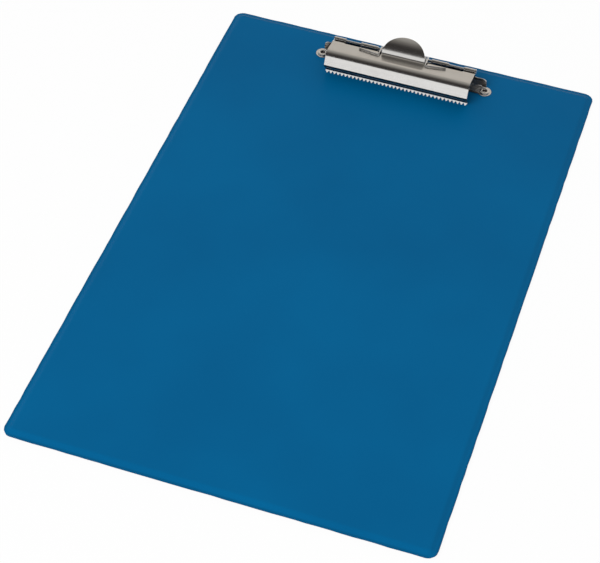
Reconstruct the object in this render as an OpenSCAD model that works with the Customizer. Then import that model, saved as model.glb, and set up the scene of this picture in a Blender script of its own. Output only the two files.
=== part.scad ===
// A4 clipboard: a greyboard panel welded between two plastic films, with a
// sprung, toothed sheet-steel clip riveted across its top edge.
// Origin: centre of the board on the face it lies on. +Y runs to the clip's end,
// +Z out of the writing face.

/* [Board] */
// Width over the welded lip
board_w = 220; // [150:1:300]
// Height over the welded lip
board_h = 340; // [200:1:450]
// Radius of the board's corners
corner_r = 5.5; // [5:0.5:12]
// Thickness of the greyboard panel
core_t = 2.2; // [1.5:0.1:4]

/* [Cover film] */
// Thickness of each film
film_t = 0.3; // [0.2:0.05:0.5]
// Width of the welded lip
lip_w = 1.2; // [0.8:0.1:2.4]
// Width of the slope from the lip up to the panel's edge
slope_w = 2.8; // [1.5:0.1:3.2]
// Gap between the panel's edge and the films round it
core_gap = 0.2; // [0.1:0.05:0.6]

/* [Clip sheet] */
// Thickness of the steel sheet of the base and the jaw
sheet_t = 0.55; // [0.45:0.05:0.8]
// Distance from the board's top edge to the row of rivets
rivet_inset = 20.2; // [18:0.1:40]
// Distance between the two rivets
rivet_pitch = 98.4; // [96:0.2:110]

/* [Hinge] */
// Diameter of the hinge pin
pin_d = 1.4; // [1.2:0.1:2.2]
// Height of the pin's axis above the board's face
pin_h = 12.6; // [11:0.1:16]
// Distance of the pin's axis behind the row of rivets
pin_back = 1.3; // [0.5:0.1:1.6]
// Radial gap between the pin and the jaw's knuckles
jaw_play = 0.05; // [0.02:0.01:0.08]
// Radial gap between the pin and the base's knuckles
base_play = 0.02; // [0.01:0.01:0.05]

/* [Base] */
// Radius of the ears round the rivets
ear_r = 4.0; // [3.6:0.1:4.8]
// Depth of the foot in front of the row of rivets
foot_front = 2.8; // [2:0.1:4]
// Overall length of the rear wall
wall_w = 98.5; // [96:0.5:104]
// Height of the wall's low ends above the board's face
wall_h = 6.9; // [5:0.1:8]
// Gap between the wall and the coils and knuckles above it
bay_gap = 0.4; // [0.3:0.05:1]
// Radius of the wall's top corners
wall_corner_r = 2.6; // [1:0.1:4]
// Lean of the wall towards the jaw, in degrees
wall_lean = 8; // [5:0.5:12]
// Radius of the bend between foot and wall, to the middle of the sheet
foot_bend_r = 1.0; // [0.8:0.05:1.1]
// Distance from the middle of the clip to each base knuckle
base_knuckle_x = 16.2; // [15.6:0.1:20]
// Length of each base knuckle
base_knuckle_l = 10.3; // [8:0.1:14]
// Width of the upturned tongue that the spring's bridge leans on
stop_w = 8; // [6:0.5:9]
// Height of that tongue above the middle of the bridge
stop_over = 1.2; // [0.8:0.1:2]

/* [Jaw] */
// Width of the jaw
jaw_w = 85.6; // [76:0.1:92]
// Distance from the pin forward to the back of the top plate
tongue_l = 6.0; // [5.5:0.1:8]
// Slope of the top plate, in degrees
plate_slope = 13; // [8:0.5:18]
// Radius of the bend behind the top plate, to the middle of the sheet
plate_bend_r = 2; // [1:0.1:3]
// Length of the top plate, between its bends
plate_l = 6.8; // [5:0.1:9]
// Radius of the shoulder, to the middle of the sheet
shoulder_r = 4.05; // [3:0.05:5]
// Slope of the front face away from upright, in degrees
face_lean = 26; // [12:0.5:30]
// Length of the front face
face_l = 5.0; // [4:0.1:5.4]
// Angle at which the sheet tucks in under the front face, in degrees
tuck_lean = 38; // [30:0.5:42]
// Lean of the toothed lip away from upright, in degrees
lip_lean = 24; // [10:0.5:26]
// Length of the lip below its bend
lip_l = 1.75; // [1.6:0.05:2.5]
// Radius of the two bends above the lip, to the middle of the sheet
lip_bend_r = 1.1; // [0.8:0.05:1.5]
// Gap between the closed teeth and the board's face
lip_gap = 0.06; // [0.03:0.01:0.2]
// Spacing of the teeth
tooth_pitch = 2.2526; // [1.6:0.05:3]
// Depth of the teeth
tooth_depth = 1.5; // [1:0.1:1.6]
// Length of each jaw knuckle, at the jaw's ends
jaw_knuckle_l = 7.2; // [5:0.1:9]
// Radius of the bends where the tongues drop to the pin, to the middle of the sheet
tongue_bend_r = 0.8; // [0.6:0.05:1.2]
// Level edge behind the top plate, between the thumb tab and the knuckles
ledge_l = 1.7; // [1:0.1:2.2]

/* [Thumb tab] */
// Radius of the half-round thumb tab
tab_r = 13.2; // [11:0.1:13.6]
// Distance of the half-round's centre in front of the tab's root
tab_sink = 0.2; // [0:0.1:1.5]
// Width of the slit on each side of the thumb tab
slit_w = 1.9; // [1.4:0.1:2.2]
// Flat of the tab behind the bend
tab_flat = 0.4; // [0.4:0.1:1.5]
// Radius of the bend at the tab's root, to the middle of the sheet
tab_root_r = 1.3; // [1:0.1:2.5]
// Lean of the tab above its root, away from upright, in degrees
tab_lean = 28; // [10:1:32]
// Length of the straight stretch above the root
tab_straight = 1.4; // [1:0.1:3]
// Radius of the backward curl at the tab's top, to the middle of the sheet
tab_curl_r = 10.8; // [9.5:0.1:14]
// Angle that the curl turns through, in degrees
tab_curl = 58; // [56:1:62]

/* [Spring] */
// Diameter of the spring wire
wire_d = 1.0; // [0.8:0.05:1.0]
// Radius of the coils, to the middle of the wire
coil_r = 1.75; // [1.7:0.05:1.9]
// Turns in each of the two coils
coil_turns = 6; // [4:1:6]
// Distance from one turn to the next
coil_pitch = 1.5; // [1.45:0.05:1.6]
// Gap between the spring and what it rests on
spring_rest = 0.05; // [0.03:0.01:0.15]
// Length of the legs that lie along the jaw
leg_run = 11; // [8:0.5:12]
// Distance that each leg's bend lies further forward than its end
leg_slant = 2.2; // [0:0.1:2.6]
// Radius of the bends in the legs and the bridge
leg_bend_r = 1.2; // [1:0.1:1.6]
// Length of the legs that reach down to the bridge
bridge_leg = 9; // [8:0.1:9.4]
// Angle at which the bridge's legs leave the coils, below the level, in degrees
bridge_angle = 30; // [28:1:36]

/* [Rivets] */
// Outer radius of the rivets' heads
rivet_head_r = 3.0; // [2.6:0.05:3.1]
// Height of the rivets' heads
rivet_head_h = 0.8; // [0.6:0.1:1.2]
// Outer radius of the rivets' tubes
rivet_tube_r = 1.7; // [1.4:0.05:1.9]
// Wall of the rivets' tubes
rivet_wall = 0.5; // [0.35:0.05:0.6]
// Radius of the closed ends of the rivets on the back
clinch_r = 2.9; // [2.5:0.1:3.4]
// Height of the closed ends, pressed flush with the back
clinch_h = 0.5; // [0.4:0.05:0.7]
// Radial gap between a rivet's tube and its holes
rivet_play = 0.05; // [0.02:0.01:0.15]

/* [Hidden] */
$fn = 64;

film_blue = [0, 0.32, 0.55];
steel = [0.74, 0.73, 0.71];
bright_steel = [0.82, 0.82, 0.82];
greyboard = [0.62, 0.6, 0.56];

// Heights above the face that the board lies on.
weld_z = film_t + core_t / 2;
core_top = film_t + core_t;
board_top = core_top + film_t;

// The row of rivets and the hinge, in the board's plane.
rivet_x = rivet_pitch / 2;
rivet_y = board_h / 2 - rivet_inset;
pin_y = rivet_y + pin_back;
pin_z = board_top + pin_h;
pin_r = pin_d / 2;
jaw_bore_r = pin_r + jaw_play;
base_bore_r = pin_r + base_play;
jaw_x = jaw_w / 2;
jaw_knuckle_x = jaw_x - jaw_knuckle_l;
base_knuckle_end = base_knuckle_x + base_knuckle_l;
roll_turn = 290;
eps = 0.01;

// The back of the top plate lies level with the top of the jaw's knuckles. The
// thumb tab has short straight sides between the slits before it rounds off.
jaw_mid_z = pin_z + jaw_bore_r + sheet_t / 2;
tab_side = tab_r - 0.3;

// The spring: where its coils start and end across the clip, where its legs lie
// on the jaw, and where its bridge lies, in [y, z].
coil_x = tab_side + slit_w / 2;
coil_sweep = coil_turns * 360 + 90 + bridge_angle;
coil_end_x = coil_x - coil_pitch * coil_sweep / 360;
leg_y = pin_y - tongue_l + wire_d / 2;
leg_z = jaw_mid_z + sheet_t / 2 + spring_rest + wire_d / 2;
leg_end_x = coil_x + leg_bend_r + leg_run;
bridge_at = [pin_y + coil_r * cos(bridge_angle) - bridge_leg * sin(bridge_angle),
             pin_z - coil_r * sin(bridge_angle) - bridge_leg * cos(bridge_angle)];

// ---- Sheet metal ----------------------------------------------------------
// A bent strip is drawn from its side, as a list of steps that a pen makes from
// the origin, heading along +X. A step is [length, 0], straight on, or
// [radius, turn], an arc to the middle of the sheet, positive to the left.

// The pen's [x, y, heading] after one step.
function step_end(s) = s[1] == 0 ? [s[0], 0, 0]
    : [s[0] * sin(abs(s[1])), sign(s[1]) * s[0] * (1 - cos(s[1])), s[1]];

// The pen's [x, y, heading] after all steps.
function path_end(steps, at = [0, 0, 0], i = 0) = i == len(steps) ? at
    : let (e = step_end(steps[i]), c = cos(at[2]), s = sin(at[2]))
      path_end(steps, [at[0] + c * e[0] - s * e[1], at[1] + s * e[0] + c * e[1], at[2] + e[2]], i + 1);

// Points along one side of a bent strip, this far to the left of its middle.
function side_points(steps, off) = [for (i = [0:len(steps)])
    let (from = path_end([for (j = [0:1:i - 1]) steps[j]]))
    each i == len(steps) ? [side_point(from, off)]
        : let (s = steps[i], n = s[1] == 0 ? 1 : ceil(abs(s[1]) / 5))
          [for (k = [0:n - 1]) side_point(k == 0 ? from : path_end([[s[0], s[1] * k / n]], from), off)]];

function side_point(at, off) = [at[0] - off * sin(at[2]), at[1] + off * cos(at[2])];

// The side view of a bent strip as one outline, its arcs in steps of 5 degrees.
module bent_strip(steps) {
    left = side_points(steps, sheet_t / 2);
    right = side_points(steps, -sheet_t / 2);
    polygon(concat(left, [for (i = [len(right) - 1:-1:0]) right[i]]));
}

// Stands a side view up in the board's frame, from x0 to x1, with its origin at
// [y, z] and its pen heading forwards or backwards.
module stand(y, z, heading, x0, x1) {
    translate([x0, y, z]) rotate([90, 0, 90]) linear_extrude(x1 - x0) rotate(heading) children();
}

// Both halves of what is drawn on the right.
module both_sides() {
    children();
    mirror([1, 0, 0]) children();
}

// ---- The board ------------------------------------------------------------
// A slab with the board's outline, drawn in by inset, from z up through h.
module slab(inset, z, h) {
    w = board_w - 2 * inset;
    l = board_h - 2 * inset;
    r = corner_r - inset;
    translate([0, 0, z]) linear_extrude(h) {
        square([w - 2 * r, l], center = true);
        square([w, l - 2 * r], center = true);
        for (x = [-1, 1], y = [-1, 1]) translate([x * (w / 2 - r), y * (l / 2 - r)]) circle(r);
    }
}

// A bar with sloping sides, this wide at its two heights, drawn across the page.
module sloping_bar(low, z_low, high, z_high, l) {
    rotate([90, 0, 0]) linear_extrude(l, center = true)
        polygon([[-low, z_low], [low, z_low], [high, z_high], [-high, z_high]]);
}

// A low pan: the board's outline inside the lip, sloping in towards z_high.
module pan(z_low, z_high) {
    x = board_w / 2 - corner_r;
    y = board_h / 2 - corner_r;
    low = corner_r - lip_w;
    high = low - slope_w;
    sloping_bar(x + low, z_low, x + high, z_high, 2 * y);
    rotate([0, 0, 90]) sloping_bar(y + low, z_low, y + high, z_high, 2 * x);
    for (i = [-1, 1], j = [-1, 1]) translate([i * x, j * y, z_low])
        cylinder(r1 = low, r2 = high, h = z_high - z_low);
}

// A welded film: lip, slope and face, hollow beneath. Drawn the front way up,
// with the middle of the board at z = 0.
module film_shell() {
    half_core = core_t / 2;
    difference() {
        union() {
            slab(0, 0, film_t);
            pan(0, half_core + film_t);
        }
        pan(-eps, half_core);
    }
}

// Drills through what is drawn, at both rivets.
module rivet_holes(r, z0, z1) {
    for (side = [-1, 1]) translate([side * rivet_x, rivet_y, z0]) cylinder(r = r, h = z1 - z0);
}

rivet_hole_r = rivet_tube_r + rivet_play;
// The back film is pressed in round each rivet's closed end.
cup_depth = clinch_h + rivet_play;
cup_r = clinch_r + film_t;

module front_cover() {
    color(film_blue) difference() {
        translate([0, 0, weld_z]) film_shell();
        rivet_holes(rivet_hole_r, core_top - 1, board_top + 1);
    }
}

module back_cover() {
    color(film_blue) difference() {
        union() {
            translate([0, 0, weld_z]) mirror([0, 0, 1]) film_shell();
            rivet_holes(cup_r + film_t, film_t / 2, cup_depth + film_t);
        }
        rivet_holes(cup_r, -1, cup_depth);
        rivet_holes(rivet_hole_r, -1, core_top);
    }
}

module core_board() {
    color(greyboard) difference() {
        slab(lip_w + slope_w + core_gap, film_t, core_t);
        rivet_holes(cup_r + film_t, 0, cup_depth + film_t);
        rivet_holes(rivet_hole_r, 0, board_top);
    }
}

// ---- The base of the clip ---------------------------------------------------
base_roll_r = base_bore_r + sheet_t / 2;
foot_z = board_top + sheet_t / 2;
// Where the wall meets its knuckles, and where the foot's bend ends.
roll_start = [pin_y + base_roll_r * cos(wall_lean), pin_z + base_roll_r * sin(wall_lean)];
bend_end_z = foot_z + foot_bend_r * (1 + sin(wall_lean));
wall_len = (roll_start[1] - bend_end_z) / cos(wall_lean);
bend_end_y = roll_start[0] + wall_len * sin(wall_lean);
foot_front_y = rivet_y - foot_front;
foot_len = bend_end_y - foot_bend_r * cos(wall_lean) - foot_front_y;

// How long the wall is where its top lies h above the board.
function wall_to(h) = (board_top + h - bend_end_z) / cos(wall_lean);

// The foot and wall from side to side, with the wall this long.
module foot_and_wall(x0, x1, len) {
    stand(foot_front_y, foot_z, 0, x0, x1)
        bent_strip([[foot_len, 0], [foot_bend_r, 90 + wall_lean], [len, 0]]);
}

// A wall of full height, rolled round the pin at its top.
module base_knuckle() {
    stand(bend_end_y, bend_end_z, 90 + wall_lean, base_knuckle_x, base_knuckle_end)
        bent_strip([[wall_len, 0], [base_roll_r, roll_turn]]);
}

// Cuts the square corner off the wall's low end, leaving it round.
module wall_corner_cut() {
    translate([wall_w / 2 - wall_corner_r, rivet_y, board_top + wall_h - wall_corner_r])
        rotate([90, 0, 0]) translate([0, 0, -2 * ear_r]) linear_extrude(2 * ear_r) difference() {
            square(2 * wall_corner_r);
            circle(wall_corner_r);
        }
}

// The front edge is turned up in the middle, as a stop for the spring's bridge.
module spring_stop() {
    stop_y = bridge_at[0] - wire_d / 2 - spring_rest - sheet_t / 2;
    root_y = bridge_at[0] + 2 * sheet_t;
    rise = bridge_at[1] + stop_over - foot_z - sheet_t;
    stand(root_y, foot_z, 0, -stop_w / 2, stop_w / 2) mirror([1, 0])
        bent_strip([[root_y - stop_y - sheet_t, 0], [sheet_t, 90], [rise, 0]]);
}

module clip_base() {
    side_end = jaw_x - sheet_t;
    side_top = pin_z - jaw_bore_r - sheet_t - bay_gap - board_top;
    bay_top = pin_z - coil_r - wire_d / 2 - bay_gap - board_top;
    notch_y = bridge_at[0] + sheet_t;
    color(steel) difference() {
        union() {
            difference() {
                foot_and_wall(-wall_w / 2, wall_w / 2, wall_to(wall_h));
                both_sides() wall_corner_cut();
                translate([-stop_w / 2 - sheet_t, foot_front_y - 1, board_top - 1])
                    cube([stop_w + 2 * sheet_t, notch_y - foot_front_y + 1, sheet_t + 2]);
            }
            foot_and_wall(-base_knuckle_end, base_knuckle_end, wall_to(bay_top));
            both_sides() {
                foot_and_wall(base_knuckle_x, side_end, wall_to(side_top));
                base_knuckle();
            }
            spring_stop();
            rivet_holes(ear_r, board_top, board_top + sheet_t);
        }
        rivet_holes(rivet_hole_r, board_top - 1, board_top + sheet_t + 1);
    }
}

// ---- The jaw ------------------------------------------------------------------
// Where the bend behind the top plate starts.
bend_y = pin_y - tongue_l + plate_bend_r * tan(plate_slope / 2);
jaw_head = [[plate_bend_r, -plate_slope], [plate_l, 0],
            [shoulder_r, plate_slope + 90 - face_lean], [face_l, 0],
            [lip_bend_r, face_lean + tuck_lean]];
jaw_tail = [[lip_bend_r, -tuck_lean - lip_lean], [lip_l, 0]];
// The stretch between them takes up the height that is left above the board.
lip_z = board_top + lip_gap + sheet_t / 2 * sin(lip_lean);
tuck_l = (jaw_mid_z - path_end(concat(jaw_head, jaw_tail))[1] - lip_z) / cos(tuck_lean);
jaw_steps = concat(jaw_head, [[tuck_l, 0]], jaw_tail);
lip_y = bend_y - path_end(jaw_steps)[0];

tab_steps = [[tab_flat, 0], [tab_root_r, 90 - tab_lean], [tab_straight, 0], [tab_curl_r, -tab_curl]];
tab_end = path_end(tab_steps);
// How far the slits beside the tab run on into the bend, and how far the sheet
// runs on behind the bend where it is cut back.
slit_root = 0.5;
bend_margin = 0.3;
tooth_tip = 0.3;

// Each tongue runs level, drops under the pin and rolls up round it: its straight
// stretch touches the circles of both its bends.
roll_r = jaw_bore_r + sheet_t / 2;
tongue_way = [pin_y - bend_y - ledge_l, jaw_mid_z - pin_z - tongue_bend_r];
tongue_turn = asin((roll_r + tongue_bend_r) / norm(tongue_way)) + atan2(tongue_way[1], tongue_way[0]);
tongue_steps = [[ledge_l, 0], [tongue_bend_r, -tongue_turn],
                [sqrt(tongue_way * tongue_way - pow(roll_r + tongue_bend_r, 2)), 0], [roll_r, roll_turn]];

// A strip of the jaw from the bend back towards the pin.
module behind_bend(x0, x1, steps) {
    stand(bend_y, jaw_mid_z, 0, x0, x1) bent_strip(steps);
}

// The tab is cut round as seen square on to the line from its root to its tip.
module thumb_tab() {
    rise = atan2(tab_end[1], tab_end[0]);
    intersection() {
        behind_bend(-tab_side, tab_side, tab_steps);
        translate([0, bend_y, jaw_mid_z]) rotate([rise, 0, 0]) translate([0, -tab_sink, 0])
            cylinder(r = tab_r, h = 2 * tab_r, center = true);
    }
}

// The notches between the teeth, with half a notch at each end of the lip.
module tooth_notches() {
    count = floor(jaw_w / tooth_pitch);
    half = (tooth_pitch - tooth_tip) / 2;
    translate([0, lip_y, lip_z]) rotate([90 - lip_lean, 0, 0])
        linear_extrude(3 * sheet_t, center = true)
            for (i = [0:count]) translate([(i - count / 2) * tooth_pitch, 0])
                polygon([[-half, -1], [half, -1], [half, 0], [0, tooth_depth], [-half, 0]]);
}

module clip_jaw() {
    color(bright_steel) {
        thumb_tab();
        difference() {
            union() {
                stand(bend_y + bend_margin, jaw_mid_z, 180, -jaw_x, jaw_x)
                    bent_strip(concat([[bend_margin, 0]], jaw_steps));
                both_sides() {
                    behind_bend(coil_x, jaw_knuckle_x + sheet_t, [[ledge_l, 0]]);
                    behind_bend(jaw_knuckle_x, jaw_x, tongue_steps);
                }
            }
            both_sides() translate([tab_side, bend_y - slit_root, jaw_mid_z - 2 * sheet_t])
                cube([slit_w, slit_root + ledge_l + 1, 4 * sheet_t]);
            tooth_notches();
        }
    }
}

// ---- The hinge ----------------------------------------------------------------
module hinge_pin() {
    end = pin_r / 3;
    color(bright_steel) translate([-jaw_x, pin_y, pin_z]) rotate([0, 90, 0]) rotate_extrude()
        polygon([[0, 0], [pin_r - end, 0], [pin_r, end],
                 [pin_r, jaw_w - end], [pin_r - end, jaw_w], [0, jaw_w]]);
}

// One unbroken wire: a leg along the jaw, a coil round the pin, the bridge down
// behind the base's stop, and the same again in reverse. The right half comes
// first, from the end of its leg to the bridge.
module torsion_spring() {
    rings = round(coil_sweep / 45);
    down = [0, -sin(bridge_angle), -cos(bridge_angle)];
    leg_bend = [coil_x, leg_y - leg_slant, leg_z + leg_slant * tan(plate_slope)];
    corner = [coil_end_x, bridge_at[0], bridge_at[1]];
    half = concat(
        [[leg_end_x, leg_y, leg_z]],
        [for (a = [0:30:90]) leg_bend + leg_bend_r * [1 - sin(a), 1 - cos(a), 0]],
        [for (i = [0:rings]) let (a = 90 - coil_sweep * i / rings)
            [coil_x - coil_pitch * coil_sweep / 360 * i / rings,
             pin_y + coil_r * cos(a), pin_z + coil_r * sin(a)]],
        [for (a = [0:30:90]) corner - leg_bend_r * ([1 - cos(a), 0, 0] + (1 - sin(a)) * down)]);
    other_half = [for (i = [len(half) - 1:-1:0]) [-half[i][0], half[i][1], half[i][2]]];
    color(bright_steel) wire(concat(half, other_half));
    spans = [for (i = [0:len(half) - 1], j = [i + 5:1:len(half) - 1]) norm(half[i] - half[j])];
    echo(least_wire_gap = min(spans) - wire_d);
}

// A round wire through these points, six-sided, with its frames carried along.
module wire(points) {
    sides = 6;
    last = len(points) - 1;
    along = [for (i = [0:last]) unit(unit(points[min(i + 1, last)] - points[i])
                                     + unit(points[i] - points[max(i - 1, 0)]))];
    across = carried(along, [unit(cross(along[0], [0, 1, 0]))]);
    corners = [for (i = [0:last]) let (n = across[i], b = cross(along[i], n)) for (j = [0:sides - 1])
        points[i] + wire_d / 2 * (n * cos(360 * j / sides) + b * sin(360 * j / sides))];
    polyhedron(corners, concat(
        [for (j = [1:sides - 2]) [0, j, j + 1]],
        [for (i = [0:last - 1], j = [0:sides - 1]) let (a = i * sides, k = (j + 1) % sides)
            [a + j, a + sides + j, a + sides + k]],
        [for (i = [0:last - 1], j = [0:sides - 1]) let (a = i * sides, k = (j + 1) % sides)
            [a + j, a + sides + k, a + k]],
        [for (j = [1:sides - 2]) [last * sides, last * sides + j + 1, last * sides + j]]));
}

// The direction of v; nothing where v has no length.
function unit(v) = norm(v) == 0 ? v : v / norm(v);

// Directions square to the wire, each carried on from the one before.
function carried(along, done) = len(done) == len(along) ? done
    : let (t = along[len(done)], n = done[len(done) - 1])
      carried(along, concat(done, [unit(n - (n * t) * t)]));

// ---- The rivets ---------------------------------------------------------------
// A hollow rivet: rounded head on the ear, tube, and closed end sunk in the back.
module rivet(side) {
    head_z = board_top + sheet_t;
    bore_r = rivet_tube_r - rivet_wall;
    round_r = rivet_head_h / 2;
    color(bright_steel) translate([side * rivet_x, rivet_y, 0]) rotate_extrude() {
        translate([bore_r, 0]) square([rivet_wall, head_z + round_r]);
        translate([bore_r, 0]) square([clinch_r - bore_r, clinch_h]);
        translate([rivet_tube_r, head_z])
            square([rivet_head_r - round_r - rivet_tube_r, rivet_head_h]);
        translate([rivet_head_r - round_r, head_z + round_r]) circle(round_r);
        translate([rivet_tube_r, head_z + rivet_head_h - rivet_wall]) intersection() {
            circle(rivet_wall);
            translate([-rivet_wall, 0]) square(rivet_wall);
        }
    }
}

module left_rivet() {
    rivet(-1);
}

module right_rivet() {
    rivet(1);
}

front_cover();
back_cover();
core_board();
clip_base();
clip_jaw();
hinge_pin();
torsion_spring();
left_rivet();
right_rivet();
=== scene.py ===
"""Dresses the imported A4 clipboard: welded film covers, plated spring clip, rivets, and a plain studio.

Sizes and the points of outlines and profiles are in millimetres, and are turned into Blender's metres
where a mesh is made. The camera, the lamps and the shaders are in metres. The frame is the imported
model's: +Y runs towards the clip, +Z out of the writing face, and the board lies on z = 0.
"""

import logging
import math
import random
from dataclasses import dataclass
from enum import Enum
from functools import cached_property
from typing import Callable, Iterable, Optional, Sequence

import bmesh
import bpy
from mathutils import Matrix, Vector

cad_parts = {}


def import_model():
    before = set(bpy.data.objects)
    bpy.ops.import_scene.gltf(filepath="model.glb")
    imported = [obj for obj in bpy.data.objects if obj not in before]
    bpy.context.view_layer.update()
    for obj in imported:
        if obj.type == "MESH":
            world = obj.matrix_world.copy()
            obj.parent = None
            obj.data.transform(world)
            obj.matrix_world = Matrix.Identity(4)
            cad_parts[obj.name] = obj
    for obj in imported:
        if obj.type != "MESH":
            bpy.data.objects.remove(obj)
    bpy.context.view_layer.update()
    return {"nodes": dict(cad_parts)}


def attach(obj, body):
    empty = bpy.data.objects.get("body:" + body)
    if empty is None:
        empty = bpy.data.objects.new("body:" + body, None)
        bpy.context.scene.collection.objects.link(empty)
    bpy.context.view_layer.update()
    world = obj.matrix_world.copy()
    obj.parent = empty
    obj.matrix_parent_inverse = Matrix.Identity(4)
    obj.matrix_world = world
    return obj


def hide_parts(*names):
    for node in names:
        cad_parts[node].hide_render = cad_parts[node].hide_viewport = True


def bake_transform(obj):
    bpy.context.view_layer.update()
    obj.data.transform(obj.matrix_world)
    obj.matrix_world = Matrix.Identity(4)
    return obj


LOG = logging.getLogger("clipboard")
MM = 0.001
# The vertex attribute that holds painted shade on the plating, from 0 to 1: how far its colour is darkened
# where shade falls.
PAINTED_SHADE = "painted_shade"
# Two numbers this close are the same place or length, in millimetres.
SAME = 1e-9

Point = tuple[float, float]
Edge = tuple[Point, Point]
Step = tuple[float, float]
Colour = tuple[float, float, float]
Ring = list[bmesh.types.BMVert]


# ---- Sizes, in millimetres ---------------------------------------------------


@dataclass(frozen=True)
class BoardSizes:
    """The board: a panel between two films that are welded round its edge."""

    width: float = 220.0
    height: float = 340.0
    corner_r: float = 5.5
    film: float = 0.3
    weld_z: float = 1.4
    top_z: float = 2.8


@dataclass(frozen=True)
class ClipSizes:
    """What the base, the jaw, the pin and the spring share."""

    sheet: float = 0.55
    rivet_x: float = 49.2
    rivet_y: float = 149.8
    pin_y: float = 151.1
    pin_z: float = 15.4
    pin_r: float = 0.7
    jaw_bore_r: float = 0.75
    base_bore_r: float = 0.72
    roll_turn: float = 290.0
    jaw_x: float = 42.8
    ear_r: float = 4.0
    rivet_hole_r: float = 1.75


BOARD = BoardSizes()
CLIP = ClipSizes()


def srgb(red: int, green: int, blue: int) -> Colour:
    """Turns a colour as a screen shows it into the linear one that a shader takes.

    Args:
        red: Red from 0 to 255.
        green: Green from 0 to 255.
        blue: Blue from 0 to 255.

    Returns:
        The linear colour, each channel from 0 to 1.
    """

    def linear(value: float) -> float:
        """Turns one channel, from 0 to 1."""
        return value / 12.92 if value <= 0.04045 else ((value + 0.055) / 1.055) ** 2.4

    return linear(red / 255), linear(green / 255), linear(blue / 255)


# ---- Node helpers --------------------------------------------------------------


class Graph:
    """A thin hand for building a node tree."""

    def __init__(self, tree: bpy.types.NodeTree) -> None:
        """Takes the tree that nodes go into."""
        self.tree = tree

    def node(self, kind: str, **values: object) -> bpy.types.Node:
        """Adds a node and sets its properties and inputs.

        Args:
            kind: The node's type, such as ShaderNodeMath.
            **values: Properties of the node, or inputs with an i_ before the name or number.

        Returns:
            The new node.
        """
        made = self.tree.nodes.new(kind)
        for name, value in values.items():
            if not name.startswith("i_"):
                setattr(made, name, value)
        for name, value in values.items():
            if name.startswith("i_"):
                key = name[2:]
                self.feed(made.inputs[int(key) if key.isdigit() else key.replace("_", " ")], value)
        return made

    def feed(self, socket: bpy.types.NodeSocket, value: object) -> None:
        """Links a socket to an output, or sets its value.

        Args:
            socket: The input.
            value: An output socket to link, or a plain value.
        """
        if isinstance(value, bpy.types.NodeSocket):
            self.tree.links.new(value, socket)
        else:
            socket.default_value = value

    def math(self, operation: str, *inputs: object, clamp: bool = False) -> bpy.types.NodeSocket:
        """Adds a Math node.

        Args:
            operation: The Math node's operation.
            *inputs: Its inputs, outputs to link or numbers.
            clamp: Whether the result is kept between 0 and 1.

        Returns:
            The node's output.
        """
        made = self.tree.nodes.new("ShaderNodeMath")
        made.operation, made.use_clamp = operation, clamp
        for socket, value in zip(made.inputs, inputs):
            self.feed(socket, value)
        return made.outputs[0]

    def ramp(self, factor: object, stops: Sequence[tuple[float, Colour]]) -> bpy.types.NodeSocket:
        """Adds a colour ramp.

        Args:
            factor: What drives the ramp.
            stops: Position and colour of each stop, in order.

        Returns:
            The ramp's colour.
        """
        made = self.node("ShaderNodeValToRGB")
        self.feed(made.inputs[0], factor)
        elements = made.color_ramp.elements
        while len(elements) < len(stops):
            elements.new(1.0)
        for element, (place, colour) in zip(elements, stops):
            element.position, element.color = place, (*colour, 1.0)
        return made.outputs[0]

    def mix(self, factor: object, first: object, second: object) -> bpy.types.NodeSocket:
        """Mixes two colours.

        Args:
            factor: 0 for the first, 1 for the second.
            first: A colour or an output.
            second: A colour or an output.

        Returns:
            The mixed colour.
        """
        made = self.node("ShaderNodeMix", data_type="RGBA")
        for socket, value in zip((made.inputs[0], made.inputs[6], made.inputs[7]), (factor, first, second)):
            self.feed(socket, (*value, 1.0) if isinstance(value, tuple) and len(value) == 3 else value)
        return made.outputs[2]


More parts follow.
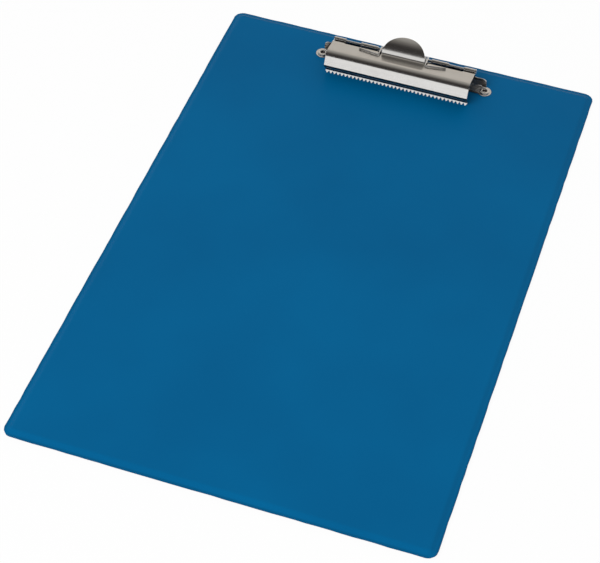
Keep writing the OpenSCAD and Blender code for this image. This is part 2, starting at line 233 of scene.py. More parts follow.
class NodeGroups:
    """Effects that several finishes share, each built at its first use."""

    @staticmethod
    def _tree(name: str, inputs: Iterable[tuple[str, float]], outputs: Iterable[str]) -> Graph:
        """Makes an empty group with float inputs and outputs.

        Args:
            name: The group's name.
            inputs: Name and default of each input.
            outputs: Name of each output.

        Returns:
            The group's tree, ready to build in.
        """
        tree = bpy.data.node_groups.new(name, "ShaderNodeTree")
        for label, default in inputs:
            socket = tree.interface.new_socket(label, in_out="INPUT", socket_type="NodeSocketFloat")
            socket.default_value = default
        for label in outputs:
            tree.interface.new_socket(label, in_out="OUTPUT", socket_type="NodeSocketFloat")
        return Graph(tree)

    @cached_property
    def grain(self) -> bpy.types.NodeTree:
        """The fine orange-peel grain of calendered film.

        Returns:
            A group with Scale in, and Height and Patch out.
        """
        g = self._tree("film_grain", [("Scale", 1600.0)], ["Height", "Patch"])
        ins, outs = g.node("NodeGroupInput"), g.node("NodeGroupOutput")
        where = g.node("ShaderNodeTexCoord").outputs["Object"]
        cells = g.node("ShaderNodeTexVoronoi", feature="SMOOTH_F1", i_Vector=where,
                       i_Scale=ins.outputs["Scale"])
        fine = g.node("ShaderNodeTexNoise", i_Vector=where, i_Scale=2600.0, i_Detail=3.0)
        patch = g.node("ShaderNodeTexNoise", i_Vector=where, i_Scale=11.0, i_Detail=3.0)
        fine_share = 0.45
        height = g.math("MULTIPLY_ADD", fine.outputs[0], fine_share, cells.outputs[0])
        g.feed(outs.inputs["Height"], height)
        g.feed(outs.inputs["Patch"], patch.outputs[0])
        return g.tree

    @cached_property
    def brushing(self) -> bpy.types.NodeTree:
        """Streaks left by rolling the sheet or drawing the wire, along X, under the plating.

        Returns:
            A group with Along and Across scales in, and Streak and Cloud out.
        """
        g = self._tree("rolled_streaks", [("Along", 40.0), ("Across", 2400.0)], ["Streak", "Cloud"])
        ins, outs = g.node("NodeGroupInput"), g.node("NodeGroupOutput")
        where = g.node("ShaderNodeTexCoord").outputs["Object"]
        scale = g.node("ShaderNodeCombineXYZ", i_X=ins.outputs["Along"], i_Y=ins.outputs["Across"],
                       i_Z=ins.outputs["Across"])
        drawn = g.node("ShaderNodeVectorMath", operation="MULTIPLY", i_0=where, i_1=scale.outputs[0])
        streak = g.node("ShaderNodeTexNoise", i_Vector=drawn.outputs[0], i_Scale=1.0, i_Detail=4.0)
        cloud = g.node("ShaderNodeTexNoise", i_Vector=where, i_Scale=120.0, i_Detail=4.0)
        g.feed(outs.inputs["Streak"], streak.outputs[0])
        g.feed(outs.inputs["Cloud"], cloud.outputs[0])
        return g.tree


# ---- Finishes --------------------------------------------------------------------


class FinishName(Enum):
    """The finishes that the pieces are given."""

    FILM = "blue_film"
    GREYBOARD = "greyboard"
    PLATED_SHEET = "plated_sheet"
    WIRE = "bright_wire"
    RIVET = "plated_rivet"


class Look:
    """How a finish looks."""

    def dress(self, g: Graph, shader: bpy.types.Node, groups: NodeGroups) -> None:
        """Fills a new material's graph, round its Principled shader."""
        raise NotImplementedError


@dataclass(frozen=True)
class FilmLook(Look):
    """Blue PVC film: satin, finely grained, and a shade deeper where it is welded flat."""

    deep: Colour = srgb(0, 92, 141)
    light: Colour = srgb(0, 97, 147)
    welded: Colour = srgb(0, 80, 122)
    weld_width: float = 1.6 * MM
    rough: float = 0.40
    rough_range: float = 0.08
    gloss: float = 0.06
    bar_scale: float = 5200.0
    bar_height: float = 0.6
    grain_height: float = 0.5
    bump: float = 0.12
    depth: float = 0.12 * MM

    def dress(self, g: Graph, shader: bpy.types.Node, groups: NodeGroups) -> None:
        """Fills the film's material.

        Args:
            g: The material's graph.
            shader: Its Principled shader.
            groups: The shared effects.
        """
        grain = g.node("ShaderNodeGroup", node_tree=groups.grain)
        where = g.node("ShaderNodeTexCoord").outputs["Object"]
        x, y = g.node("ShaderNodeSeparateXYZ", i_Vector=where).outputs[:2]
        edge_x = g.math("SUBTRACT", BOARD.width / 2 * MM, g.math("ABSOLUTE", x))
        edge_y = g.math("SUBTRACT", BOARD.height / 2 * MM, g.math("ABSOLUTE", y))
        inset = g.math("MINIMUM", edge_x, edge_y)
        lip = g.math("SUBTRACT", 1.0, g.math("DIVIDE", inset, self.weld_width), clamp=True)
        patch = g.ramp(grain.outputs["Patch"], [(0.35, self.deep), (0.65, self.light)])
        g.feed(shader.inputs["Base Color"], g.mix(lip, patch, self.welded))
        rough = g.math("MULTIPLY_ADD", grain.outputs["Patch"], self.rough_range, self.rough)
        g.feed(shader.inputs["Roughness"], rough)
        g.feed(shader.inputs["Specular IOR Level"], self.gloss)
        # The heated tool leaves a row of short bars along the weld.
        bars = g.math("SINE", g.math("MULTIPLY", g.math("ADD", x, y), self.bar_scale))
        weld = g.math("MULTIPLY", g.math("MULTIPLY", bars, lip), self.bar_height)
        height = g.math("ADD", g.math("MULTIPLY", grain.outputs["Height"], self.grain_height), weld)
        bump = g.node("ShaderNodeBump", i_Strength=self.bump, i_Distance=self.depth, i_Height=height)
        g.feed(shader.inputs["Normal"], bump.outputs[0])


@dataclass(frozen=True)
class GreyboardLook(Look):
    """Dense grey paperboard with flecks and short fibres."""

    dark: Colour = srgb(140, 136, 128)
    light: Colour = srgb(176, 171, 162)
    fibre: Colour = srgb(120, 116, 108)
    fibre_share: float = 0.2
    rough: float = 0.92
    bump: float = 0.3
    depth: float = 0.2 * MM

    def dress(self, g: Graph, shader: bpy.types.Node, groups: NodeGroups) -> None:
        """Fills the greyboard's material.

        Args:
            g: The material's graph.
            shader: Its Principled shader.
            groups: The shared effects; not used.
        """
        where = g.node("ShaderNodeTexCoord").outputs["Object"]
        fleck = g.node("ShaderNodeTexNoise", i_Vector=where, i_Scale=900.0, i_Detail=5.0)
        fibre = g.node("ShaderNodeTexWave", i_Vector=where, i_Scale=220.0, i_Distortion=18.0)
        colour = g.ramp(fleck.outputs[0], [(0.3, self.dark), (0.7, self.light)])
        share = g.math("MULTIPLY", fibre.outputs[1], self.fibre_share)
        g.feed(shader.inputs["Base Color"], g.mix(share, colour, self.fibre))
        g.feed(shader.inputs["Roughness"], self.rough)
        bump = g.node("ShaderNodeBump", i_Strength=self.bump, i_Distance=self.depth,
                      i_Height=fleck.outputs[0])
        g.feed(shader.inputs["Normal"], bump.outputs[0])


@dataclass(frozen=True)
class MetalLook(Look):
    """Bright plating over rolled or drawn steel, darkened by painted shade where a vertex attribute says
    so.
    """

    base: Colour
    stain: Colour
    rough: float
    rough_range: float
    along: float
    across: float
    bump: float
    # The near-black colour of the painted shade in the jaw's crease, under the jaw and in the rivets'
    # bores.
    painted_shade_colour: Colour = (0.075, 0.062, 0.055)
    stain_share: float = 0.5
    cloud_gain: float = 2.4
    cloud_shift: float = -1.1
    depth: float = 0.1 * MM

    def dress(self, g: Graph, shader: bpy.types.Node, groups: NodeGroups) -> None:
        """Fills a metal's material.

        Args:
            g: The material's graph.
            shader: Its Principled shader.
            groups: The shared effects.
        """
        rolled = g.node("ShaderNodeGroup", node_tree=groups.brushing, i_Along=self.along,
                        i_Across=self.across)
        stained = g.math("MULTIPLY_ADD", rolled.outputs["Cloud"], self.cloud_gain, self.cloud_shift,
                         clamp=True)
        plated = g.mix(g.math("MULTIPLY", stained, self.stain_share), self.base, self.stain)
        # Painted shade: the vertex attribute mixes the plated colour towards the painted shade colour.
        painted_shade = g.node("ShaderNodeAttribute", attribute_name=PAINTED_SHADE).outputs["Fac"]
        g.feed(shader.inputs["Base Color"], g.mix(painted_shade, plated, self.painted_shade_colour))
        rough = g.math("MULTIPLY_ADD", rolled.outputs["Streak"], self.rough_range,
                       self.rough - self.rough_range / 2)
        g.feed(shader.inputs["Roughness"], rough)
        g.feed(shader.inputs["Metallic"], 1.0)
        bump = g.node("ShaderNodeBump", i_Strength=self.bump, i_Distance=self.depth,
                      i_Height=rolled.outputs["Streak"])
        g.feed(shader.inputs["Normal"], bump.outputs[0])


LOOKS: dict[FinishName, Look] = {
    FinishName.FILM: FilmLook(),
    FinishName.GREYBOARD: GreyboardLook(),
    FinishName.PLATED_SHEET: MetalLook(base=(0.80, 0.785, 0.76), stain=(0.70, 0.68, 0.65), rough=0.24,
                                       rough_range=0.10, along=30.0, across=2600.0, bump=0.05),
    FinishName.WIRE: MetalLook(base=(0.76, 0.76, 0.755), stain=(0.66, 0.65, 0.63), rough=0.20,
                               rough_range=0.12, along=60.0, across=5200.0, bump=0.04),
    FinishName.RIVET: MetalLook(base=(0.84, 0.83, 0.81), stain=(0.76, 0.74, 0.71), rough=0.20,
                                rough_range=0.10, along=500.0, across=900.0, bump=0.03),
}


class Finishes:
    """Builds each material once and hands it out."""

    def __init__(self, groups: NodeGroups) -> None:
        """Takes the shared node groups."""
        self._groups = groups
        self._made: dict[FinishName, bpy.types.Material] = {}

    def get(self, name: FinishName) -> bpy.types.Material:
        """Gives a finish, building it at its first use.

        Args:
            name: The finish.

        Returns:
            Its material.
        """
        if name not in self._made:
            material = bpy.data.materials.new(name.value)
            material.use_nodes = True
            material.node_tree.nodes.clear()
            g = Graph(material.node_tree)
            shader = g.node("ShaderNodeBsdfPrincipled")
            g.node("ShaderNodeOutputMaterial", i_Surface=shader.outputs[0])
            LOOKS[name].dress(g, shader, self._groups)
            self._made[name] = material
        return self._made[name]


# ---- Pieces --------------------------------------------------------------------


@dataclass(frozen=True)
class PieceSpec:
    """Where a piece belongs in the frame."""

    name: str
    body: str
    finish: FinishName
    slot: str
    replaces: tuple[str, ...] = ()


class Piece:
    """A mesh that takes the place of a CAD node.

    An edge stays sharp where it turns by more than SHARP_ANGLE, in degrees.
    """

    SHARP_ANGLE = 50.0
    WEIGHTED_NORMALS = True

    def __init__(self, spec: PieceSpec) -> None:
        """Takes the piece's place."""
        self.spec = spec

    def mesh(self) -> bmesh.types.BMesh:
        """Makes the piece's mesh, in metres in the model's frame."""
        raise NotImplementedError

    def _shade(self, obj: bpy.types.Object) -> None:
        """Shades flats flat and bends smooth.

        Args:
            obj: The piece's object.
        """
        obj.data.shade_smooth()
        obj.data.set_sharp_from_angle(angle=math.radians(self.SHARP_ANGLE))
        if self.WEIGHTED_NORMALS:
            weighted = obj.modifiers.new("weighted_normals", "WEIGHTED_NORMAL")
            weighted.keep_sharp = True
            weighted.weight = 100

    def carry(self, obj: bpy.types.Object) -> None:
        """Makes the piece move with its body."""
        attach(obj, self.spec.body)

    def build(self, finishes: Finishes) -> bpy.types.Object:
        """Makes the object and sets it in the frame.

        Args:
            finishes: Where its material comes from.

        Returns:
            The object.
        """
        bm = self.mesh()
        bmesh.ops.recalc_face_normals(bm, faces=bm.faces)
        if bm.calc_volume(signed=True) < 0:
            bmesh.ops.reverse_faces(bm, faces=bm.faces)
        data = bpy.data.meshes.new(self.spec.name)
        bm.to_mesh(data)
        bm.free()
        obj = bpy.data.objects.new(self.spec.name, data)
        bpy.context.scene.collection.objects.link(obj)
        data.materials.append(finishes.get(self.spec.finish))
        self._shade(obj)
        self.carry(obj)
        if self.spec.replaces:
            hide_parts(*self.spec.replaces)
        LOG.info("%s: %d faces on %s", self.spec.name, len(data.polygons), self.spec.body)
        return obj


def join_rings(bm: bmesh.types.BMesh, rings: Sequence[Ring]) -> None:
    """Joins closed rings of vertices, one to the next, by four-sided faces.

    Args:
        bm: The mesh that they are in.
        rings: The rings, of as many vertices each.
    """
    for first, second in zip(rings, rings[1:]):
        for k in range(len(first)):
            n = (k + 1) % len(first)
            bm.faces.new((first[k], first[n], second[n], second[k]))


# ---- Bent sheet ------------------------------------------------------------------


class StripPath:
    """The side view of a bent strip: where a pen goes that draws its middle.

    An arc is cut in parts of at most ARC_STEP degrees.
    """

    ARC_STEP = 4.0

    def __init__(self, start: Point, heading: float, steps: Sequence[Step]) -> None:
        """Takes the pen's start and its steps.

        Args:
            start: The start, as (y, z).
            heading: The first direction, in degrees from +Y towards +Z.
            steps: (length, 0) straight on, or (radius, turn) for an arc, turning left if positive.
        """
        self._legs: list[tuple[float, float, float, float, Step]] = []
        self.bends: list[float] = []
        at_y, at_z, turned, run = start[0], start[1], heading, 0.0
        for step in steps:
            self._legs.append((run, at_y, at_z, turned, step))
            length = step[0] if step[1] == 0 else step[0] * math.radians(abs(step[1]))
            if step[1] != 0:
                parts = max(2, math.ceil(abs(step[1]) / self.ARC_STEP))
                self.bends += [run + length * i / parts for i in range(parts + 1)]
            at_y, at_z, turned = self._after(at_y, at_z, turned, step, length)
            run += length
        self.length = run

    @staticmethod
    def _after(y: float, z: float, heading: float, step: Step, run: float) -> tuple[float, float, float]:
        """Where the pen is after part of a step.

        Args:
            y: Where the step starts.
            z: Where the step starts.
            heading: Its direction there, in degrees.
            step: The step.
            run: How far along it.

        Returns:
            The pen's y, z and heading.
        """
        c, s = math.cos(math.radians(heading)), math.sin(math.radians(heading))
        if step[1] == 0:
            return y + c * run, z + s * run, heading
        turn = math.degrees(run / step[0]) * math.copysign(1, step[1])
        ahead = step[0] * math.sin(math.radians(abs(turn)))
        aside = math.copysign(step[0] * (1 - math.cos(math.radians(turn))), step[1])
        return y + c * ahead - s * aside, z + s * ahead + c * aside, heading + turn

    def at(self, run: float) -> tuple[float, float, float]:
        """Where the pen is after a run from its start.

        Args:
            run: The run, which may lie before the start or past the end.

        Returns:
            Its y, z and heading in degrees.
        """
        leg = self._legs[0]
        for candidate in self._legs:
            if candidate[0] <= run + SAME:
                leg = candidate
        past, y, z, heading, step = leg
        if run < 0:
            return self._after(y, z, heading, (1.0, 0), run)
        return self._after(y, z, heading, step, run - past)


@dataclass
class Limb:
    """A stretch of a blank that follows a path of its own."""

    path: StripPath
    covers: Callable[[float, float], bool]
    root: float = 0.0
    sign: int = 1

    def place(self, s: float) -> tuple[float, float, float, float]:
        """Finds where a line across the blank goes when it is bent.

        Args:
            s: The line's place along the flat blank.

        Returns:
            The middle's y and z, and the y and z of the direction square to the sheet.
        """
        y, z, heading = self.path.at(self.sign * (s - self.root))
        h = math.radians(heading)
        return y, z, -math.sin(h) * self.sign, math.cos(h) * self.sign

    def stations(self) -> list[float]:
        """The lines across the blank along which this limb bends."""
        return [self.root + self.sign * bend for bend in self.path.bends]


def arc_points(centre: Point, radius: float, start: float, end: float, parts: int) -> list[Point]:
    """Points along an arc between two angles in degrees, both ends included."""
    angles = [math.radians(start + (end - start) * i / parts) for i in range(parts + 1)]
    return [(centre[0] + radius * math.cos(a), centre[1] + radius * math.sin(a)) for a in angles]


def fillet(corner: Point, inwards: Point, radius: float, start: float, end: float,
           parts: int = 4) -> list[Point]:
    """Points round a blank's corner; inwards holds the signs of x and s towards the arc's middle."""
    centre = (corner[0] + inwards[0] * radius, corner[1] + inwards[1] * radius)
    return arc_points(centre, radius, start, end, parts)


def mirrored(right_half: Sequence[Point]) -> list[Point]:
    """Closes an outline of which the right half is given, from middle line to middle line."""
    left = [(-x, s) for x, s in reversed(right_half) if abs(x) > SAME]
    return list(right_half) + left


class BentSheet(Piece):
    """A piece cut from flat sheet and bent, made the way that a press tool makes it.

    Its rims are broken by RIM_R, and the painted shade on its under side is that of its upper side times a
    class constant.
    """

    RIM_R = 0.07
    PAINTED_SHADE_BEHIND = 1.0
    # Places on the blank are rounded to so many digits, and ROUND_OFF is what that may cost.
    DIGITS = 6
    ROUND_OFF = 1e-6
    # Rows closer than this are one.
    ROW_GAP = 2e-4
    # An edge whose length is the sheet's thickness to within this runs through the sheet.
    THROUGH_ROOM = 2e-3
    # Faces that meet at less than FLAT_ANGLE are joined; a rim turns by more than RIM_ANGLE.
    FLAT_ANGLE = 0.3
    RIM_ANGLE = 60.0

    def outline(self) -> list[Point]:
        """The blank's outline, as points (x, s), s running along the blank."""
        raise NotImplementedError

    def holes(self) -> list[list[Point]]:
        """The holes in the blank, none by default."""
        return []

    def limbs(self) -> list[Limb]:
        """The stretches with paths of their own: the first that covers a point counts."""
        raise NotImplementedError

    def painted_shade_at(self, x: float, s: float) -> float:
        """How much painted shade the plating gets at a point of the blank: 0 is none, 1 is darkest."""
        raise NotImplementedError

    def _rows(self, loops: Sequence[Sequence[Point]], limbs: Sequence[Limb]) -> list[float]:
        """Finds where the blank is cut across: at each point of its outline and each bend line.

        Args:
            loops: The outline and the holes.
            limbs: The limbs.

        Returns:
            The rows' places along the blank, in order.
        """
        levels = {round(s, self.DIGITS) for loop in loops for _, s in loop}
        levels |= {round(s, self.DIGITS) for limb in limbs for s in limb.stations()}
        low = min(s for _, s in loops[0]) - 2 * self.ROUND_OFF
        high = max(s for _, s in loops[0]) + 2 * self.ROUND_OFF
        rows = sorted(s for s in levels if low <= s <= high)
        return [s for i, s in enumerate(rows) if i == 0 or s - rows[i - 1] > self.ROW_GAP]

    def mesh(self) -> bmesh.types.BMesh:
        """Cuts the blank into strips at every bend line, bends them and gives them their thickness.

        Returns:
            The closed mesh.
        """
        loops, limbs = [self.outline(), *self.holes()], self.limbs()
        rows = self._rows(loops, limbs)
        strips: list[tuple[Edge, Edge]] = []
        marks: dict[float, set[float]] = {row: set() for row in rows}
        for low, high in zip(rows, rows[1:]):
            for left, right in self._spans(loops, (low + high) / 2):
                near, far = ((self._x_on(left, s), self._x_on(right, s)) for s in (low, high))
                strips.append(((low, high), (near, far)))
                marks[low].update(round(x, self.DIGITS) for x in near)
                marks[high].update(round(x, self.DIGITS) for x in far)
        bm = bmesh.new()
        square = bm.verts.layers.float_vector.new("square")
        painted_shade = bm.verts.layers.float.new(PAINTED_SHADE)
        for (low, high), (near, far) in strips:
            middle = (near[0] + near[1] + far[0] + far[1]) / 4
            limb = next(limb for limb in limbs if limb.covers(middle, (low + high) / 2))
            ring = [(x, low) for x in sorted(marks[low]) if self._within(x, near)]
            ring += [(x, high) for x in sorted(marks[high], reverse=True) if self._within(x, far)]
            verts = []
            for x, s in ring:
                y, z, ny, nz = limb.place(s)
                vert = bm.verts.new((x * MM, y * MM, z * MM))
                vert[square] = (0.0, ny, nz)
                # Each vertex carries its painted shade.
                vert[painted_shade] = self.painted_shade_at(x, s)
                verts.append(vert)
            if len(verts) > 2:
                bm.faces.new(verts)
        bmesh.ops.remove_doubles(bm, verts=bm.verts, dist=self.ROW_GAP * MM)
        return self._thicken(bm, square, painted_shade)

    def _within(self, x: float, span: Point) -> bool:
        """Tells whether a mark lies on a span from left to right, ends included."""
        return span[0] - self.ROUND_OFF <= x <= span[1] + self.ROUND_OFF

    @staticmethod
    def _x_on(edge: Edge, s: float) -> float:
        """Where an edge of the outline crosses a line across the blank."""
        (x0, s0), (x1, s1) = edge
        return x0 + (x1 - x0) * min(1.0, max(0.0, (s - s0) / (s1 - s0)))

    @staticmethod
    def _spans(loops: Sequence[Sequence[Point]], s: float) -> list[tuple[Edge, Edge]]:
        """Finds the stretches of sheet on a line across the blank.

        Args:
            loops: The outline and the holes.
            s: The line.

        Returns:
            Pairs of edges, the left and the right end of each stretch.
        """
        crossed: list[tuple[float, Edge]] = []
        for loop in loops:
            for a, b in zip(loop, [*loop[1:], loop[0]]):
                if (a[1] - s) * (b[1] - s) < 0:
                    crossed.append((a[0] + (b[0] - a[0]) * (s - a[1]) / (b[1] - a[1]), (a, b)))
        crossed.sort(key=lambda item: item[0])
        return [(left[1], right[1]) for left, right in zip(crossed[::2], crossed[1::2])]

    def _thicken(self, middle: bmesh.types.BMesh, square: bmesh.types.BMLayerItem,
                 painted_shade: bmesh.types.BMLayerItem) -> bmesh.types.BMesh:
        """Turns the middle of the sheet into a solid with softly rounded rims.

        Args:
            middle: The mesh of the sheet's middle.
            square: The layer that holds the direction square to the sheet.
            painted_shade: The layer that holds the painted shade.

        Returns:
            The solid.
        """
        bm = bmesh.new()
        kept = bm.verts.layers.float.new(PAINTED_SHADE)
        tops, bottoms = {}, {}
        for vert in middle.verts:
            out = Vector(vert[square]).normalized() * (CLIP.sheet / 2 * MM)
            tops[vert], bottoms[vert] = bm.verts.new(vert.co + out), bm.verts.new(vert.co - out)
            tops[vert][kept], bottoms[vert][kept] = vert[painted_shade], vert[painted_shade] * self.PAINTED_SHADE_BEHIND
        for face in middle.faces:
            bm.faces.new([tops[v] for v in face.verts])
            bm.faces.new([bottoms[v] for v in reversed(face.verts)])
        for edge in middle.edges:
            if len(edge.link_faces) == 1:
                a, b = edge.verts
                bm.faces.new([tops[a], tops[b], bottoms[b], bottoms[a]])
        middle.free()
        bmesh.ops.recalc_face_normals(bm, faces=bm.faces)
        bmesh.ops.dissolve_limit(bm, angle_limit=math.radians(self.FLAT_ANGLE), verts=bm.verts,
                                 edges=bm.edges, use_dissolve_boundaries=False)
        sharp = [e for e in bm.edges
                 if len(e.link_faces) == 2 and e.calc_face_angle(0) > math.radians(self.RIM_ANGLE)]
        rim = [e for e in sharp if not self._runs_through(e)]
        bmesh.ops.bevel(bm, geom=rim, offset=self.RIM_R * MM, offset_type="OFFSET", segments=2,
                        profile=0.5, affect="EDGES", clamp_overlap=False, material=-1)
        return bm

    def _runs_through(self, edge: bmesh.types.BMEdge) -> bool:
        """Tells the edges at a blank's corners, which run through the sheet, from its rims."""
        a, b = edge.verts
        return abs((a.co - b.co).length / MM - CLIP.sheet) < self.THROUGH_ROOM


@dataclass(frozen=True)
class BaseSizes:
    """The base of the clip. A radius named after a spot rounds the blank's corner there."""

    foot_front: float = 2.8
    wall_x: float = 49.25
    wall_h: float = 6.9
    bay_gap: float = 0.4
    side_x: float = 42.25
    corner_r: float = 2.6
    lean: float = 8.0
    bend_r: float = 1.0
    knuckle_x: float = 16.2
    knuckle_end: float = 26.5
    stop_x: float = 4.0
    stop_over: float = 1.2
    stop_r: float = 0.8
    foot_r: float = 0.5
    step_r: float = 0.5
    side_r: float = 0.6
    knuckle_r: float = 0.4
    bay_r: float = 0.5
    relief: float = 0.25
    relief_foot: float = 0.1
    ear_clear: float = 0.01
    # Painted shade on the foot and the wall where the jaw covers them: its strength, and how far it reaches
    # above the sides and out past the start of the wall's corners.
    painted_shade: float = 0.95
    painted_shade_above: float = 0.3
    painted_shade_beyond: float = 0.1


class ClipBase(BentSheet):
    """The foot with its ears and the spring's stop, the wall, and the two rolled knuckles."""

    # The base's under side gets no painted shade.
    PAINTED_SHADE_BEHIND = 0.0

    def __init__(self, spec: PieceSpec, spring: "SpringSizes") -> None:
        """Takes the piece's place and the spring that it holds.

        Args:
            spec: Name, body, finish, slot and the nodes that it replaces.
            spring: The spring's sizes.
        """
        super().__init__(spec)
        self.size = BaseSizes()
        size, sheet, lean = self.size, CLIP.sheet, math.radians(self.size.lean)
        self.front_y = CLIP.rivet_y - size.foot_front
        self.foot_z = BOARD.top_z + sheet / 2
        roll_r = CLIP.base_bore_r + sheet / 2
        top_y = CLIP.pin_y + roll_r * math.cos(lean)
        top_z = CLIP.pin_z + roll_r * math.sin(lean)
        self.bend_end_z = self.foot_z + size.bend_r * (1 + math.sin(lean))
        wall = (top_z - self.bend_end_z) / math.cos(lean)
        bend_end_y = top_y + wall * math.sin(lean)
        self.foot = bend_end_y - size.bend_r * math.cos(lean) - self.front_y
        self.bend_run = size.bend_r * math.radians(90 + size.lean)
        steps = [(self.foot, 0), (size.bend_r, 90 + size.lean), (wall, 0), (roll_r, CLIP.roll_turn)]
        self.path = StripPath((self.front_y, self.foot_z), 0, steps)
        self.bridge_y, bridge_z = spring.bridge()
        self.stop_root = self.bridge_y + 2 * sheet - self.front_y
        stop_y = self.bridge_y - spring.wire / 2 - spring.rest - sheet / 2
        flat = self.bridge_y + 2 * sheet - stop_y - sheet
        rise = bridge_z + size.stop_over - self.foot_z - sheet
        self.stop = StripPath((self.front_y + self.stop_root, self.foot_z), 180,
                              [(flat, 0), (sheet, -90), (rise, 0)])
        self.bay_h = CLIP.pin_z - spring.coil_r - spring.wire / 2 - size.bay_gap - BOARD.top_z
        self.side_h = CLIP.pin_z - CLIP.jaw_bore_r - sheet - size.bay_gap - BOARD.top_z

    def _wall_s(self, height: float) -> float:
        """The place along the blank that lies this high over the board's face once the wall stands."""
        rise = BOARD.top_z + height - self.bend_end_z
        return self.foot + self.bend_run + rise / math.cos(math.radians(self.size.lean))

    def painted_shade_at(self, x: float, s: float) -> float:
        """The foot and the wall get painted shade where the jaw covers them, and none at their ends.

        Args:
            x: The point's place across the blank.
            s: Its place along the blank.

        Returns:
            0 where there is no painted shade, 1 where it is darkest.
        """
        size = self.size
        covered = s < self._wall_s(self.side_h) + size.painted_shade_above
        inside = abs(x) < size.wall_x - size.corner_r + size.painted_shade_beyond
        return size.painted_shade if covered and inside else 0.0

    def outline(self) -> list[Point]:
        """The base's blank.

        Returns:
            Its outline, the foot's front edge at s = 0.
        """
        size, ear = self.size, (CLIP.rivet_x, CLIP.rivet_y - self.front_y)
        tip, notch = self.stop_root - self.stop.length, self.bridge_y + CLIP.sheet - self.front_y
        notch_x = size.stop_x + CLIP.sheet
        relief_x, relief_s = size.wall_x + size.relief, self.foot - size.relief_foot
        reach = math.degrees(math.asin(ear[1] / CLIP.ear_r))
        rear = math.degrees(math.acos((relief_x - ear[0]) / CLIP.ear_r))
        low, side, bay = (self._wall_s(height) for height in (size.wall_h, self.side_h, self.bay_h))
        return mirrored([
            (0, tip), *fillet((size.stop_x, tip), (-1, 1), size.stop_r, -90, 0),
            (size.stop_x, notch), (notch_x, notch), *fillet((notch_x, 0), (1, 1), size.foot_r, 180, 270),
            *arc_points(ear, CLIP.ear_r, -180 + reach, rear, 34),
            (relief_x, relief_s), (size.wall_x, relief_s),
            *fillet((size.wall_x, low), (-1, -1), size.corner_r, 0, 90, 8),
            *fillet((size.side_x, low), (1, 1), size.step_r, 270, 180),
            *fillet((size.side_x, side), (-1, -1), size.side_r, 0, 90),
            *fillet((size.knuckle_end, side), (1, 1), size.knuckle_r, 270, 180),
            (size.knuckle_end, self.path.length), (size.knuckle_x, self.path.length),
            *fillet((size.knuckle_x, bay), (-1, 1), size.bay_r, 0, -90),
            (0, bay),
        ])

    def holes(self) -> list[list[Point]]:
        """The two rivet holes.

        Returns:
            A round loop in each ear.
        """
        parts, middle = 24, CLIP.rivet_y - self.front_y
        ring = arc_points((0, middle), CLIP.rivet_hole_r, 0, 360 - 360 / parts, parts - 1)
        return [[(x + side * CLIP.rivet_x, s) for x, s in ring] for side in (-1, 1)]

    def limbs(self) -> list[Limb]:
        """The stop bends up at the front, the ears stay flat, and the rest is foot, wall and knuckles.

        Returns:
            The limbs.
        """
        flat = StripPath((self.front_y, self.foot_z), 0, [(self.foot, 0)])
        ear_x, stop_x = self.size.wall_x + self.size.ear_clear, self.size.stop_x
        return [
            Limb(self.stop, lambda x, s: abs(x) < stop_x and s < self.stop_root, self.stop_root, -1),
            Limb(flat, lambda x, s: abs(x) > ear_x),
            Limb(self.path, lambda x, s: True),
        ]


@dataclass(frozen=True)
class JawSizes:
    """The jaw of the clip."""

    tongue: float = 6.0
    slope: float = 13.0
    slope_r: float = 2.0
    plate: float = 6.8
    shoulder_r: float = 4.05
    face_lean: float = 26.0
    face: float = 5.0
    tuck_lean: float = 38.0
    lip_lean: float = 24.0
    lip: float = 1.75
    lip_r: float = 1.1
    lip_gap: float = 0.06
    tooth_pitch: float = 2.2526
    tooth_depth: float = 1.5
    tooth_tip: float = 0.3
    knuckle_x: float = 35.6
    knuckle_corner_r: float = 0.3
    tongue_r: float = 0.8
    ledge: float = 1.7
    tab_r: float = 13.2
    tab_sink: float = 0.2
    tab_short: float = 0.03
    tab_notch: float = 0.3
    slit: float = 1.9
    slit_root: float = 0.5
    slit_corner_r: float = 0.4
    # How far into the bend before the tuck the crease's painted shade starts, as a share of the bend, and
    # how far short of the lip it stops.
    crease_start: float = 0.15
    crease_over_lip: float = 0.25
    tab_steps: tuple[Step, ...] = ((0.4, 0), (1.3, 62), (1.4, 0), (10.8, -58))

    @property
    def tab_side(self) -> float:
        """Half the width of the tab's straight root."""
        return self.tab_r - self.tab_notch


